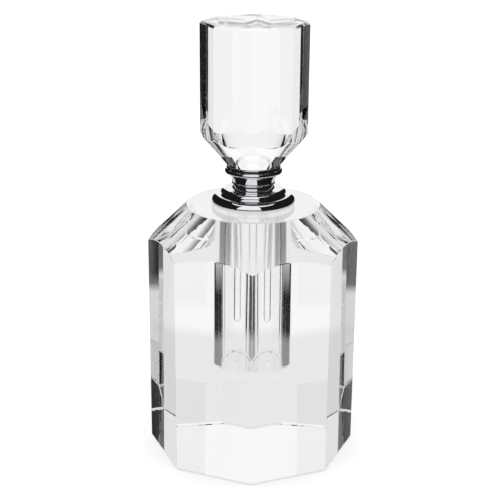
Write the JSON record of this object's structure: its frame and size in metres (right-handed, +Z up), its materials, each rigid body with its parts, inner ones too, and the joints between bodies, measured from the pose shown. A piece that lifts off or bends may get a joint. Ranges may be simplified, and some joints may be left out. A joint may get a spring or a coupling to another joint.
{
  "type": "perfume bottle with screw-in dabber stopper",
  "caption": "Clear cut-crystal octagonal perfume bottle with a stepped chrome neck collar and a faceted crystal stopper that unscrews and carries a glass dabber rod.",
  "frame": {"origin": "centre of the flat underside of the crystal base, on the surface that the bottle stands on", "axes": "+Z up along the bottle's axis; -Y is the front, where one vertical edge of the octagonal body faces; +X is to the right seen from the front"},
  "size_m": [0.06, 0.06, 0.1244],
  "materials": {
    "crystal": "polished, colourless, optically clear cut crystal",
    "chrome": "bright mirror plating on turned metal",
    "nickel": "plain nickel plating, as turned",
    "white_plastic": "moulded white polyethylene",
    "black_rubber": "smooth black seal rubber"
  },
  "bodies": {
    "bottle": {"bottle_body": "crystal", "neck_collar": "chrome", "neck_bush": "nickel"},
    "seal": {"stopper_washer": "white_plastic"},
    "dabber": {"rod_sleeve": "white_plastic", "dabber_rod": "crystal", "plug_o_ring": "black_rubber"},
    "stopper": {"stopper_finial": "crystal", "stopper_ferrule": "chrome", "thread_plug": "nickel"}
  },
  "joints": [
    {"name": "stopper_lift", "type": "slide", "parent": "bottle", "child": "seal", "axis": [0, 0, 1], "range_m": [0, 0.05]},
    {"name": "stopper_rise", "type": "slide", "parent": "seal", "child": "dabber", "axis": [0, 0, 1], "range_m": [0, 0.00313]},
    {"name": "stopper_turn", "type": "hinge", "parent": "dabber", "child": "stopper", "pos_m": [0, 0, 0.075], "axis": [0, 0, 1], "range_deg": [0, 900]}
  ],
  "couplings": [
    {"joint": "stopper_rise", "follows": "stopper_turn", "m_per_rad": 0.00019894}
  ]
}
